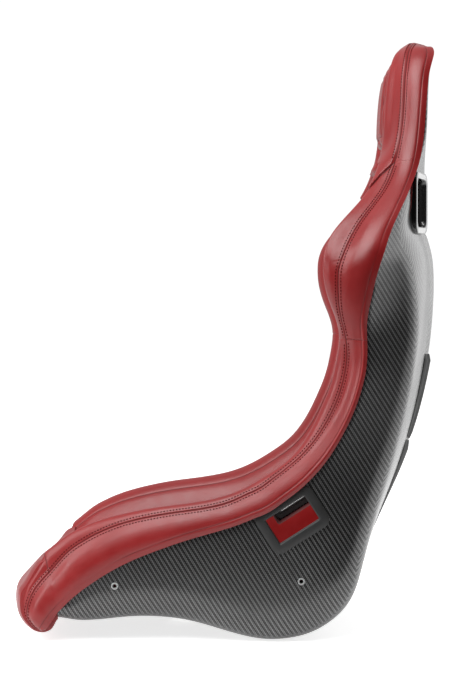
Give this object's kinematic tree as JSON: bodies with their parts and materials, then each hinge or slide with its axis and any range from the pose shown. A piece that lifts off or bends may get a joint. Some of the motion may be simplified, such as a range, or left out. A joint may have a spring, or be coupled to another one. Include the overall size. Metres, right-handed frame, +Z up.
{
  "type": "racing seat",
  "caption": "Fixed-back racing bucket seat: carbon shell, leather side rolls, lift-off cushions, harness slots and threaded side-mount inserts.",
  "frame": {"origin": "on the surface the seat would stand on, under the middle of its box", "axes": "+Z up; the occupant faces -Y; +X is the occupant's left"},
  "size_m": [0.552, 0.6828, 0.9553],
  "materials": {
    "carbon_weave": "2x2 twill carbon laminate under clear lacquer",
    "red_leather": "fine grained, semi-matte, double stitched",
    "cushion_foam": "open cell foam, matte",
    "hook_and_loop": "woven nylon tape, matte",
    "satin_black_plastic": "fine textured moulding",
    "gloss_black_plastic": "high gloss moulding",
    "insert_steel": "bright zinc plated",
    "guard_rubber": "satin moulded rubber"
  },
  "bodies": {
    "root": {"shell": "carbon_weave", "thigh_bolster_left": "red_leather", "thigh_bolster_right": "red_leather", "back_bolster_left": "red_leather", "back_bolster_right": "red_leather", "front_lip_pad": "red_leather", "headrest_surround": "red_leather", "hook_strip_seat_left": "hook_and_loop", "hook_strip_seat_right": "hook_and_loop", "hook_strip_back_left": "hook_and_loop", "hook_strip_back_right": "hook_and_loop", "hook_strip_headrest": "hook_and_loop", "lap_bezel_outer_left": "satin_black_plastic", "lap_bezel_outer_right": "satin_black_plastic", "lap_bezel_inner_left": "satin_black_plastic", "lap_bezel_inner_right": "satin_black_plastic", "crotch_bezel_lower": "satin_black_plastic", "shoulder_bezel_rear_left": "gloss_black_plastic", "shoulder_bezel_rear_right": "gloss_black_plastic", "shoulder_bezel_front_left": "gloss_black_plastic", "shoulder_bezel_front_right": "gloss_black_plastic", "side_insert_rear_left": "insert_steel", "side_insert_rear_right": "insert_steel", "side_insert_front_left": "insert_steel", "side_insert_front_right": "insert_steel", "rear_guard_upper": "guard_rubber", "rear_guard_lower": "guard_rubber"},
    "seat_cushion": {"seat_cushion_cover": "red_leather", "seat_cushion_foam": "cushion_foam", "loop_strip_seat_left": "hook_and_loop", "loop_strip_seat_right": "hook_and_loop", "crotch_bezel_upper": "satin_black_plastic"},
    "back_cushion": {"back_cushion_cover": "red_leather", "back_cushion_foam": "cushion_foam", "loop_strip_back_left": "hook_and_loop", "loop_strip_back_right": "hook_and_loop"},
    "headrest_cushion": {"headrest_cushion_cover": "red_leather", "headrest_cushion_foam": "cushion_foam", "loop_strip_headrest": "hook_and_loop"}
  },
  "joints": [
    {"name": "seat_cushion_lift", "type": "slide", "parent": "root", "child": "seat_cushion", "axis": [0, -0.3998, 0.9166], "range_m": [0, 0.05]},
    {"name": "back_cushion_lift", "type": "slide", "parent": "root", "child": "back_cushion", "axis": [0, -0.3998, 0.9166], "range_m": [0, 0.022]},
    {"name": "headrest_cushion_lift", "type": "slide", "parent": "root", "child": "headrest_cushion", "axis": [0, -0.995, 0.1], "range_m": [0, 0.05]}
  ]
}
